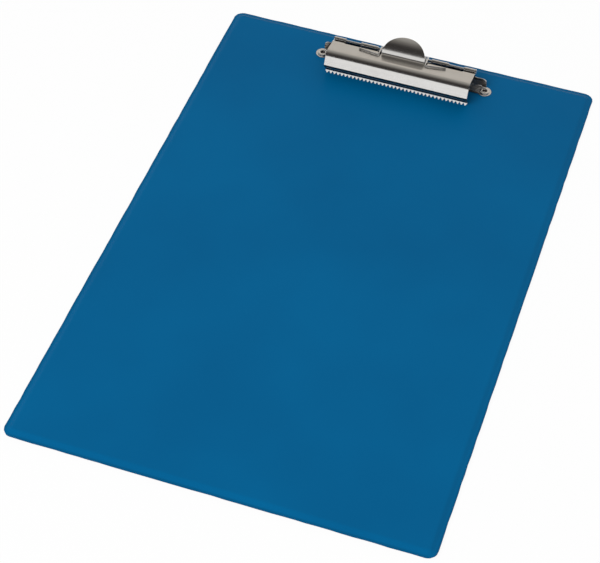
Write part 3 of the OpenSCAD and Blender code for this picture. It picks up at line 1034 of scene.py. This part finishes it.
class ClipJaw(BentSheet):
    """The sprung jaw: plate, shoulder, face, tucked lip with teeth, thumb tab and knuckles."""

    def __init__(self, spec: PieceSpec) -> None:
        """Takes the piece's place.

        Args:
            spec: Name, body, finish, slot and the nodes that it replaces.
        """
        super().__init__(spec)
        self.size = JawSizes()
        size, half = self.size, CLIP.sheet / 2
        self.bend_y = CLIP.pin_y - size.tongue + size.slope_r * math.tan(math.radians(size.slope / 2))
        self.mid_z = CLIP.pin_z + CLIP.jaw_bore_r + half
        start = (self.bend_y, self.mid_z)
        head: list[Step] = [(size.slope_r, -size.slope), (size.plate, 0),
                            (size.shoulder_r, size.slope + 90 - size.face_lean), (size.face, 0),
                            (size.lip_r, size.face_lean + size.tuck_lean)]
        tail: list[Step] = [(size.lip_r, -size.tuck_lean - size.lip_lean), (size.lip, 0)]
        # The tuck is as long as brings the lip down to its gap over the film.
        short = StripPath(start, 180, head + tail)
        lip_z = BOARD.top_z + size.lip_gap + half * math.sin(math.radians(size.lip_lean))
        tuck = (short.at(short.length)[1] - lip_z) / math.cos(math.radians(size.tuck_lean))
        self.path = StripPath(start, 180, [*head, (tuck, 0), *tail])
        # The stretch of the crease that gets painted shade.
        bend = size.lip_r * math.radians(size.face_lean + size.tuck_lean)
        self.crease = (StripPath(start, 180, head).length - bend * (1 - size.crease_start),
                       self.path.length - size.lip - size.crease_over_lip)
        # The tongue leaves its ledge in an arc, and drops straight to where it touches its own roll.
        roll_r = CLIP.jaw_bore_r + half
        way = (CLIP.pin_y - self.bend_y - size.ledge, self.mid_z - CLIP.pin_z - size.tongue_r)
        drop = math.asin((roll_r + size.tongue_r) / math.hypot(*way)) + math.atan2(way[1], way[0])
        straight = math.sqrt(way[0] ** 2 + way[1] ** 2 - (roll_r + size.tongue_r) ** 2)
        self.tongue = StripPath(start, 0, [(size.ledge, 0), (size.tongue_r, -math.degrees(drop)),
                                           (straight, 0), (roll_r, CLIP.roll_turn)])
        self.tab = StripPath(start, 0, size.tab_steps)

    def painted_shade_at(self, x: float, s: float) -> float:
        """The crease between the face and the lip gets full painted shade, the rest none."""
        return 1.0 if self.crease[0] < s < self.crease[1] else 0.0

    def _tab_reach(self, run: float) -> float:
        """How far the tab's upper face has come towards its tip, measured along its chord.

        Args:
            run: The run up the tab from its root.

        Returns:
            The distance along the chord.
        """
        tip_y, tip_z, _ = self.tab.at(self.tab.length)
        chord = Vector((tip_y - self.bend_y, tip_z - self.mid_z)).normalized()
        y, z, heading = self.tab.at(run)
        rear, up = math.sin(math.radians(heading)), math.cos(math.radians(heading))
        half = CLIP.sheet / 2
        return (y - rear * half - self.bend_y) * chord.x + (z + up * half - self.mid_z) * chord.y

    def _run_at(self, reach: float) -> float:
        """Finds by halving how long a run up the tab gives this reach.

        Args:
            reach: The distance along the chord.

        Returns:
            The run.
        """
        low, high, halvings = 0.0, self.tab.length, 50
        for _ in range(halvings):
            middle = (low + high) / 2
            low, high = (middle, high) if self._tab_reach(middle) < reach else (low, middle)
        return (low + high) / 2

    def _tab_rim(self) -> list[Point]:
        """The right half of the tab's edge, from its tip to its straight side.

        Returns:
            Points (x, s), s running negative up the tab.
        """
        size, parts = self.size, 24
        start = math.degrees(math.acos(size.tab_side / size.tab_r))
        rim = []
        for x, up in arc_points((0, 0), size.tab_r, start, 90, parts):
            rim.append((x, -self._run_at(up - size.tab_sink - size.tab_short)))
        return [(0.0, rim[-1][1]), *reversed(rim[:-1])]

    def outline(self) -> list[Point]:
        """The jaw's blank.

        Returns:
            Its outline, the bend behind the plate at s = 0 and the lip at the far end.
        """
        size, end = self.size, self.path.length
        slit_x, tongue_end = size.tab_side + size.slit, -self.tongue.length
        tooth_root = end - size.tooth_depth
        points = [
            *self._tab_rim(), (size.tab_side, size.slit_root), (slit_x, size.slit_root),
            *fillet((slit_x, -size.ledge), (1, 1), size.slit_corner_r, 180, 270),
            *fillet((size.knuckle_x, -size.ledge), (-1, -1), size.knuckle_corner_r, 90, 0, 3),
            (size.knuckle_x, tongue_end), (CLIP.jaw_x, tongue_end), (CLIP.jaw_x, tooth_root),
        ]
        half = (size.tooth_pitch - size.tooth_tip) / 2
        for tooth in range(int(CLIP.jaw_x / size.tooth_pitch), 0, -1):
            outer = tooth * size.tooth_pitch
            inner = outer - size.tooth_pitch
            points += [(outer - half, end), (inner + half, end), (inner, tooth_root)]
        return mirrored(points)

    def limbs(self) -> list[Limb]:
        """The tab bends up, the tongues drop under the pin and roll round it, and the rest is the jaw.

        Returns:
            The limbs.
        """
        side = self.size.tab_side
        return [
            Limb(self.tab, lambda x, s: abs(x) < side and s < 0, 0.0, -1),
            Limb(self.tongue, lambda x, s: s < 0, 0.0, -1),
            Limb(self.path, lambda x, s: True),
        ]


# ---- Wire and turned pieces --------------------------------------------------------


@dataclass(frozen=True)
class SpringSizes:
    """The double torsion spring.
    """

    wire: float = 1.0
    coil_r: float = 1.75
    turns: int = 6
    pitch: float = 1.5
    rest: float = 0.05
    leg_run: float = 11.0
    leg_slant: float = 2.2
    bend_r: float = 1.2
    bridge_leg: float = 9.0
    bridge_angle: float = 30.0
    blend_below: float = 1.0
    blend_above: float = 1.25

    def coil_x(self) -> float:
        """Where the coils start across the clip."""
        jaw = JawSizes()
        return jaw.tab_side + jaw.slit / 2

    def leg_end_x(self) -> float:
        """Where the legs on the jaw end across the clip."""
        return self.coil_x() + self.bend_r + self.leg_run

    def bridge(self) -> Point:
        """Where the bridge lies, seen from the side.

        Returns:
            Its y and z.
        """
        a = math.radians(self.bridge_angle)
        y = CLIP.pin_y + self.coil_r * math.cos(a) - self.bridge_leg * math.sin(a)
        z = CLIP.pin_z - self.coil_r * math.sin(a) - self.bridge_leg * math.cos(a)
        return y, z


def tube(bm: bmesh.types.BMesh, points: Sequence[Vector], radius: float, sides: int) -> None:
    """Sweeps a round wire through points, with broken edges at its cut ends.

    Args:
        bm: The mesh that it is added to.
        points: The points, in metres.
        radius: The wire's radius, in metres.
        sides: The number of sides.
    """
    end_r, end_run = radius * 0.7, radius * 0.25
    along = []
    for i, here in enumerate(points):
        ahead = points[min(i + 1, len(points) - 1)] - here
        behind = here - points[max(i - 1, 0)]
        along.append((ahead.normalized() + behind.normalized()).normalized())
    stations = [(points[0], along[0], end_r), (points[0] + along[0] * end_run, along[0], radius)]
    stations += [(p, t, radius) for p, t in zip(points[1:-1], along[1:-1])]
    stations += [(points[-1] - along[-1] * end_run, along[-1], radius), (points[-1], along[-1], end_r)]
    across = along[0].orthogonal().normalized()
    rings = []
    for centre, tangent, r in stations:
        across = (across - tangent * across.dot(tangent)).normalized()
        up = tangent.cross(across)
        angles = (2 * math.pi * k / sides for k in range(sides))
        rings.append([bm.verts.new(centre + (across * math.cos(a) + up * math.sin(a)) * r) for a in angles])
    join_rings(bm, rings)
    bm.faces.new(list(reversed(rings[0])))
    bm.faces.new(rings[-1])


class TorsionSpring(Piece):
    """One wire: leg, coil, bridge, coil, leg."""

    SHARP_ANGLE = 40.0
    WEIGHTED_NORMALS = False
    SIDES = 14
    COIL_STEP = 12.0
    LEG_BEND_PARTS = 10
    BRIDGE_BEND_PARTS = 8

    def __init__(self, spec: PieceSpec, size: SpringSizes) -> None:
        """Takes the piece's place and its sizes."""
        super().__init__(spec)
        self.size = size

    def _half(self) -> list[Vector]:
        """The right half of the wire's middle line, from the end of its leg to the bridge.

        Returns:
            Its points, in millimetres.
        """
        size, jaw = self.size, JawSizes()
        leg_y = CLIP.pin_y - jaw.tongue + size.wire / 2
        leg_z = CLIP.pin_z + CLIP.jaw_bore_r + CLIP.sheet + size.rest + size.wire / 2
        x0, rise = size.coil_x(), size.leg_slant * math.tan(math.radians(jaw.slope))
        bend = Vector((x0, leg_y - size.leg_slant, leg_z + rise))
        lead = math.atan2(size.leg_slant, size.leg_run)
        points = [Vector((size.leg_end_x(), leg_y, leg_z))]
        for i in range(self.LEG_BEND_PARTS + 1):
            a = -lead + (math.pi / 2 + lead) * i / self.LEG_BEND_PARTS
            points.append(bend + size.bend_r * Vector((1 - math.sin(a), 1 - math.cos(a), 0)))
        sweep = size.turns * 360 + 90 + size.bridge_angle
        parts, width = round(sweep / self.COIL_STEP), size.pitch * sweep / 360
        coil = arc_points((CLIP.pin_y, CLIP.pin_z), size.coil_r, 90, 90 - sweep, parts)
        points += [Vector((x0 - width * i / parts, y, z)) for i, (y, z) in enumerate(coil)]
        a = math.radians(size.bridge_angle)
        down = Vector((0, -math.sin(a), -math.cos(a)))
        corner = Vector((points[-1].x, *size.bridge()))
        for i in range(self.BRIDGE_BEND_PARTS + 1):
            t = math.pi / 2 * i / self.BRIDGE_BEND_PARTS
            inwards = Vector((1 - math.cos(t), 0, 0)) + (1 - math.sin(t)) * down
            points.append(corner - size.bend_r * inwards)
        return points

    def mesh(self) -> bmesh.types.BMesh:
        """Sweeps the whole wire.

        Returns:
            The mesh.
        """
        half = self._half()
        whole = half + [Vector((-p.x, p.y, p.z)) for p in reversed(half)]
        bm = bmesh.new()
        tube(bm, [p * MM for p in whole], self.size.wire / 2 * MM, self.SIDES)
        return bm

    def carry(self, obj: bpy.types.Object) -> None:
        """Bakes the wire's place into its mesh, and leaves it in no body.

        Args:
            obj: The piece's object.
        """
        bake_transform(obj)


class Turned(Piece):
    """A round piece, made by turning a profile about its axis."""

    SHARP_ANGLE = 35.0
    STEPS = 72
    WELD = 1e-7
    # Painted shade down a rivet's bore: its strength, and how far below the top and out from the bore it
    # stops.
    BORE_PAINTED_SHADE = 0.9
    BORE_MOUTH = 0.4
    BORE_ROOM = 0.05

    def __init__(self, spec: PieceSpec, profile: Sequence[Point], axis: Matrix, closed: bool) -> None:
        """Takes the piece's place, its profile about Z, the move to its place and whether it has a bore."""
        super().__init__(spec)
        self._profile, self._axis, self._closed = profile, axis, closed

    def mesh(self) -> bmesh.types.BMesh:
        """Spins the profile.

        Returns:
            The mesh.
        """
        bore = min(r for r, _ in self._profile) + self.BORE_ROOM
        mouth = max(h for _, h in self._profile) - self.BORE_MOUTH
        bm = bmesh.new()
        painted_shade = bm.verts.layers.float.new(PAINTED_SHADE)
        verts = [bm.verts.new((r * MM, 0, h * MM)) for r, h in self._profile]
        for vert, (r, h) in zip(verts, self._profile):
            # Painted shade inside the bore, below its mouth.
            vert[painted_shade] = self.BORE_PAINTED_SHADE if self._closed and r < bore and h < mouth else 0.0
        pairs = list(zip(verts, verts[1:]))
        if self._closed:
            pairs.append((verts[-1], verts[0]))
        edges = [bm.edges.new(pair) for pair in pairs]
        bmesh.ops.spin(bm, geom=verts + edges, cent=(0, 0, 0), axis=(0, 0, 1), dvec=(0, 0, 0),
                       angle=2 * math.pi, steps=self.STEPS, use_merge=True, use_duplicate=False)
        bmesh.ops.remove_doubles(bm, verts=bm.verts, dist=self.WELD)
        bmesh.ops.transform(bm, matrix=self._axis, verts=bm.verts)
        return bm


def pin_profile() -> list[Point]:
    """The hinge pin's profile.

    Returns:
        Points from the middle of one end to the middle of the other.
    """
    half, r, soft = CLIP.jaw_x, CLIP.pin_r, 0.25
    end = arc_points((r - soft, half - soft), soft, 90, 0, 4)
    return [(0.0, half), *end, *[(x, -h) for x, h in reversed(end)], (0.0, -half)]


@dataclass(frozen=True)
class RivetSizes:
    """A hollow rivet: rolled head on the ear, tube, and rolled end in the back."""

    bore_r: float = 1.2
    tube_r: float = 1.7
    head_r: float = 3.0
    head_h: float = 0.8
    mouth_r: float = 0.6
    rim_r: float = 0.42
    clinch_r: float = 2.9
    clinch_rim_r: float = 0.25
    sink: float = 0.02

    def profile(self) -> list[Point]:
        """The rivet's section.

        Returns:
            Points round the section.
        """
        ear = BOARD.top_z + CLIP.sheet
        top, mouth_z = ear + self.head_h, ear + self.head_h - self.mouth_r
        points = [(self.bore_r, self.rim_r), (self.bore_r, mouth_z)]
        points += arc_points((self.bore_r + self.mouth_r, mouth_z), self.mouth_r, 180, 90, 7)
        points += arc_points((self.head_r - self.rim_r, top - self.rim_r), self.rim_r, 90, -90, 12)[1:]
        points = [(r, min(h, top)) for r, h in points]
        points += [(self.tube_r, ear - self.sink), (self.tube_r, 2 * self.clinch_rim_r)]
        points += arc_points((self.clinch_r - self.clinch_rim_r, self.clinch_rim_r), self.clinch_rim_r,
                             90, -90, 8)
        points += arc_points((self.bore_r + self.rim_r, self.rim_r), self.rim_r, -90, -180, 5)[:-1]
        return points


# ---- Films -------------------------------------------------------------------------


@dataclass(frozen=True)
class CupSizes:
    """The cup in the back film that takes a rivet's rolled end."""

    radius: float = 3.2
    flare: float = 0.3
    inner_flare: float = 0.2
    brim: float = 0.06
    depth: float = 0.55


class FilmCover(Piece):
    """One of the two films: flat weld, slope over the panel's edge, and face.

    PROFILE runs from the torn edge to the face and LINING up its inner side, as (inset, height). Each
    point of the torn edge draws an extra inset from TEARS.
    """

    SHARP_ANGLE = 60.0
    PROFILE: tuple[Point, ...] = (
        (0.0, 1.40), (0.0, 1.62), (0.08, 1.69), (0.3, 1.70), (1.15, 1.70), (1.45, 1.715), (1.75, 1.785),
        (2.1, 1.915), (2.6, 2.14), (3.1, 2.37), (3.5, 2.55), (3.85, 2.68), (4.2, 2.755), (4.6, 2.79),
        (5.1, 2.80))
    LINING: tuple[Point, ...] = ((1.2, 1.40), (4.0, 2.5))
    TEARS = (0.0, 0.0, 0.05, 0.12, 0.2)
    TORN_INSET = 0.5
    SEED = 7
    CORNER_PARTS = 12
    SHORT_PARTS = 36
    LONG_PARTS = 56
    HOLE_PARTS = 48

    def __init__(self, spec: PieceSpec, back: bool) -> None:
        """Takes the piece's place and its side, back being the film that the board lies on."""
        super().__init__(spec)
        self._back = back

    def _outline(self) -> list[tuple[float, float, float, float]]:
        """Follows the board's outline once round, from the corner arc at the right of the clip.

        Returns:
            For each point, its x and y when it is drawn in by the corners' radius, and the x and y of
            the direction out of the board.
        """
        far_x, far_y = BOARD.width / 2 - BOARD.corner_r, BOARD.height / 2 - BOARD.corner_r
        middles = [(far_x, far_y), (-far_x, far_y), (-far_x, -far_y), (far_x, -far_y)]
        points: list[tuple[float, float, float, float]] = []
        for turn, (x0, y0) in enumerate(middles):
            start, end = 90 * turn, 90 * turn + 90
            corner = arc_points((0, 0), 1, start, end, self.CORNER_PARTS)
            points += [(x0, y0, nx, ny) for nx, ny in corner]
            x1, y1 = middles[(turn + 1) % 4]
            nx, ny = (round(part(math.radians(end))) for part in (math.cos, math.sin))
            parts = self.LONG_PARTS if turn % 2 else self.SHORT_PARTS
            points += [(x0 + (x1 - x0) * i / parts, y0 + (y1 - y0) * i / parts, nx, ny)
                       for i in range(1, parts)]
        return points

    def _ring(self, bm: bmesh.types.BMesh, inset: float, z: float,
              ragged: Optional[Sequence[float]] = None) -> Ring:
        """Adds one loop of the board's outline.

        Args:
            bm: The mesh.
            inset: How far inside the outline.
            z: Its height.
            ragged: A small extra inset for each point, where the film was torn off along the weld.

        Returns:
            The loop's vertices.
        """
        height = BOARD.weld_z * 2 - z if self._back else z
        verts = []
        for k, (x, y, nx, ny) in enumerate(self._outline()):
            out = BOARD.corner_r - inset - (ragged[k] if ragged else 0.0)
            verts.append(bm.verts.new(((x + nx * out) * MM, (y + ny * out) * MM, height * MM)))
        return verts

    def mesh(self) -> bmesh.types.BMesh:
        """Lofts the film from its torn edge to the face, and lines it with its inner side.

        Returns:
            The mesh.
        """
        rng = random.Random(self.SEED)
        ragged = [rng.choice(self.TEARS) for _ in self._outline()]
        bm = bmesh.new()
        rings = [self._ring(bm, inset, z, ragged if inset < self.TORN_INSET else None)
                 for inset, z in self.PROFILE]
        lining = [self._ring(bm, inset, z) for inset, z in self.LINING]
        order = [*reversed(lining), *rings]
        join_rings(bm, order)
        self._close(bm, order[-1], order[0])
        return bm

    def _levels(self) -> tuple[list[Point], list[Point]]:
        """The steps of a rivet's hole, from the face inwards: a cup in the back, a plain hole in front.

        Returns:
            Radius and height of each step, for the outer face and for its inner side.
        """
        hole, film, cup = CLIP.rivet_hole_r, BOARD.film, CupSizes()
        if not self._back:
            return [(hole, BOARD.top_z)], [(hole, BOARD.top_z - film)]
        outer = [(cup.radius + cup.flare, 0.0), (cup.radius, cup.brim), (cup.radius, cup.depth),
                 (hole, cup.depth)]
        inner_r = cup.radius + film
        inner = [(inner_r + cup.inner_flare, film), (inner_r, film + cup.brim), (inner_r, film + cup.depth),
                 (hole, film + cup.depth)]
        return outer, inner

    def _close(self, bm: bmesh.types.BMesh, face: Ring, lining: Ring) -> None:
        """Closes the outer face and its inner side, with the rivets' holes through both.

        Args:
            bm: The mesh.
            face: The outer face's loop.
            lining: The inner side's loop.
        """
        parts = self.HOLE_PARTS
        last = 360 - 360 / parts
        ends = []
        for levels, loop in zip(self._levels(), (face, lining)):
            stacks = []
            for side in (-1, 1):
                stack = []
                for r, z in levels:
                    ring = arc_points((side * CLIP.rivet_x, CLIP.rivet_y), r, 0, last, parts - 1)
                    stack.append([bm.verts.new((x * MM, y * MM, z * MM)) for x, y in ring])
                join_rings(bm, stack)
                stacks.append(stack)
            rim = []
            for verts in (loop, stacks[0][0], stacks[1][0]):
                for pair in zip(verts, [*verts[1:], verts[0]]):
                    rim.append(bm.edges.get(pair) or bm.edges.new(pair))
            bmesh.ops.triangle_fill(bm, use_beauty=True, use_dissolve=False, edges=rim)
            ends.append([stack[-1] for stack in stacks])
        for pair in zip(*ends):
            join_rings(bm, pair)


# ---- Studio ------------------------------------------------------------------------


@dataclass(frozen=True)
class PhotoCamera:
    """The photograph's viewpoint, found from the board's four corners."""

    place: tuple[float, float, float] = (0.18710, -0.65526, 0.72692)
    right: tuple[float, float, float] = (0.94788, 0.31764, 0.02525)
    back: tuple[float, float, float] = (0.19570, -0.64280, 0.74060)
    lens: float = 111.98
    sensor: float = 36.0
    near: float = 0.01
    far: float = 20.0

    def build(self) -> None:
        """Makes the camera and makes it the scene's."""
        data = bpy.data.cameras.new("photo_camera")
        data.lens, data.sensor_width = self.lens, self.sensor
        data.clip_start, data.clip_end = self.near, self.far
        camera = bpy.data.objects.new("photo_camera", data)
        bpy.context.scene.collection.objects.link(camera)
        back, right = Vector(self.back).normalized(), Vector(self.right)
        right = (right - back * right.dot(back)).normalized()
        turn = Matrix((right, back.cross(right), back)).transposed().to_4x4()
        camera.matrix_world = Matrix.Translation(self.place) @ turn
        bpy.context.scene.camera = camera


@dataclass(frozen=True)
class Lamp:
    """A soft round lamp that the metal doesn't mirror, aimed at the middle of the back."""

    name: str
    place: tuple[float, float, float]
    size: float
    power: float

    def build(self) -> None:
        """Makes the lamp."""
        data = bpy.data.lights.new(self.name, "AREA")
        data.shape, data.size, data.energy = "DISK", self.size, self.power
        lamp = bpy.data.objects.new(self.name, data)
        lamp.location = self.place
        lamp.rotation_mode = "QUATERNION"
        lamp.rotation_quaternion = Vector(self.place).to_track_quat("Z", "Y")
        lamp.visible_glossy = False
        bpy.context.scene.collection.objects.link(lamp)


WHITE: Colour = (1.0, 1.0, 1.0)
DARK: Colour = (0.02, 0.017, 0.016)
REAR_BOX: Colour = (0.50, 0.465, 0.42)


@dataclass(frozen=True)
class Studio:
    """Floor, world and lamps.

    The sky's stops are what the metal mirrors: 0 is the horizon in front of the board, 0.5 straight up
    and 1 the horizon behind it.
    """

    floor_size: float = 6.0
    floor_z: float = -0.0004
    floor_grey: float = 0.86
    floor_share: float = 0.95
    fill: float = 0.52
    sky: tuple[tuple[float, Colour], ...] = (
        (0.0, WHITE), (0.105, WHITE), (0.12, DARK), (0.35, (0.03, 0.027, 0.025)),
        (0.46, (0.14, 0.13, 0.12)), (0.58, (0.30, 0.29, 0.27)), (0.71, (0.40, 0.38, 0.35)),
        (0.76, (0.66, 0.62, 0.57)), (0.81, REAR_BOX), (0.93, REAR_BOX), (0.985, WHITE), (1.0, WHITE))
    lamps: tuple[Lamp, ...] = (Lamp(name="key", place=(-0.5, -1.3, 1.3), size=1.1, power=21.5),
                               Lamp(name="back", place=(0.3, 1.4, 1.3), size=1.2, power=2.5))

    def build(self) -> None:
        """Makes the whole studio."""
        self._floor()
        self._world()
        for lamp in self.lamps:
            lamp.build()
        bpy.context.scene.view_settings.view_transform = "Standard"

    def _floor(self) -> None:
        """A wide pale floor, nearly white to the camera, which keeps the object's shadow."""
        data = bpy.data.meshes.new("floor")
        bm = bmesh.new()
        bmesh.ops.create_grid(bm, x_segments=2, y_segments=2, size=self.floor_size)
        bm.to_mesh(data)
        bm.free()
        floor = bpy.data.objects.new("floor", data)
        floor.location.z = self.floor_z
        bpy.context.scene.collection.objects.link(floor)
        material = bpy.data.materials.new("studio_floor")
        material.use_nodes = True
        material.node_tree.nodes.clear()
        g = Graph(material.node_tree)
        matte = g.node("ShaderNodeBsdfDiffuse", i_Color=(*[self.floor_grey] * 3, 1.0))
        white = g.node("ShaderNodeEmission", i_Color=(*WHITE, 1.0), i_Strength=1.0)
        path = g.node("ShaderNodeLightPath")
        mirrored_ray = g.math("MAXIMUM", path.outputs["Is Glossy Ray"], path.outputs["Is Transmission Ray"])
        seen = g.math("MAXIMUM", path.outputs["Is Camera Ray"], mirrored_ray)
        share = g.math("MULTIPLY", seen, self.floor_share)
        mixed = g.node("ShaderNodeMixShader", i_0=share, i_1=matte.outputs[0], i_2=white.outputs[0])
        g.node("ShaderNodeOutputMaterial", i_Surface=mixed.outputs[0])
        data.materials.append(material)

    def _world(self) -> None:
        """White to the camera, plain light on the object, and soft boxes with a dark gap for the metal."""
        world = bpy.data.worlds.new("studio")
        bpy.context.scene.world = world
        world.use_nodes = True
        world.node_tree.nodes.clear()
        g = Graph(world.node_tree)
        way = g.node("ShaderNodeTexCoord").outputs["Generated"]
        y, z = g.node("ShaderNodeSeparateXYZ", i_Vector=way).outputs[1:]
        climb = g.math("DIVIDE", g.math("ARCTAN2", z, g.math("MULTIPLY", y, -1.0)), math.pi)
        boxes = g.ramp(climb, self.sky)
        path = g.node("ShaderNodeLightPath")
        glossy = g.math("MAXIMUM", path.outputs["Is Glossy Ray"], path.outputs["Is Transmission Ray"])
        seen = g.mix(path.outputs["Is Camera Ray"], (self.fill,) * 3, WHITE)
        light = g.node("ShaderNodeBackground", i_Color=g.mix(glossy, seen, boxes), i_Strength=1.0)
        g.node("ShaderNodeOutputWorld", i_Surface=light.outputs[0])


# ---- Assembly ----------------------------------------------------------------------


@dataclass(frozen=True)
class Clipboard:
    """The whole object: which piece stands for which node."""

    finishes: Finishes
    spring: SpringSizes = SpringSizes()

    def pieces(self) -> list[Piece]:
        """Lists the pieces in the order in which they are put together.

        Returns:
            The pieces.
        """
        film, sheet, wire = FinishName.FILM, FinishName.PLATED_SHEET, FinishName.WIRE
        pin_axis = Matrix.Translation((0, CLIP.pin_y * MM, CLIP.pin_z * MM))
        pin_axis = pin_axis @ Matrix.Rotation(math.pi / 2, 4, "Y")
        made: list[Piece] = [
            FilmCover(PieceSpec("back_film", "board", film, "film", ("back_cover",)), back=True),
            FilmCover(PieceSpec("front_film", "board", film, "film", ("front_cover",)), back=False),
            ClipBase(PieceSpec("base_plate", "board", sheet, "clip_steel", ("clip_base",)), self.spring),
            Turned(PieceSpec("pin", "board", wire, "wire_steel", ("hinge_pin",)), pin_profile(),
                   pin_axis, closed=False),
            TorsionSpring(PieceSpec("spring", "board", wire, "wire_steel", ("torsion_spring",)),
                          self.spring),
            ClipJaw(PieceSpec("jaw_plate", "jaw", sheet, "clip_steel", ("clip_jaw",))),
        ]
        for side, node in ((-1, "left_rivet"), (1, "right_rivet")):
            place = Matrix.Translation((side * CLIP.rivet_x * MM, CLIP.rivet_y * MM, 0))
            spec = PieceSpec(f"{node}_turned", "board", FinishName.RIVET, "rivet_steel", (node,))
            made.append(Turned(spec, RivetSizes().profile(), place, closed=True))
        return made

    def dress_nodes(self, nodes: dict[str, bpy.types.Object]) -> None:
        """Gives the CAD nodes their finishes, those that stay in view and those that are replaced.

        Args:
            nodes: The frame's nodes.
        """
        looks = {"core_board": FinishName.GREYBOARD,
                 "front_cover": FinishName.FILM, "back_cover": FinishName.FILM,
                 "clip_base": FinishName.PLATED_SHEET, "clip_jaw": FinishName.PLATED_SHEET,
                 "hinge_pin": FinishName.WIRE, "torsion_spring": FinishName.WIRE,
                 "left_rivet": FinishName.RIVET, "right_rivet": FinishName.RIVET}
        for name, look in looks.items():
            material = self.finishes.get(look)
            for slot in nodes[name].material_slots:
                slot.material = material
            if not nodes[name].material_slots:
                nodes[name].data.materials.append(material)


def main() -> None:
    """Builds the scene in order: frame, camera, studio, finishes, pieces."""
    logging.basicConfig(level=logging.INFO, format="%(name)s: %(message)s")
    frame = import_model()
    PhotoCamera().build()
    Studio().build()
    board = Clipboard(Finishes(NodeGroups()))
    board.dress_nodes(frame["nodes"])
    for piece in board.pieces():
        piece.build(board.finishes)


if __name__ == "__main__":
    main()
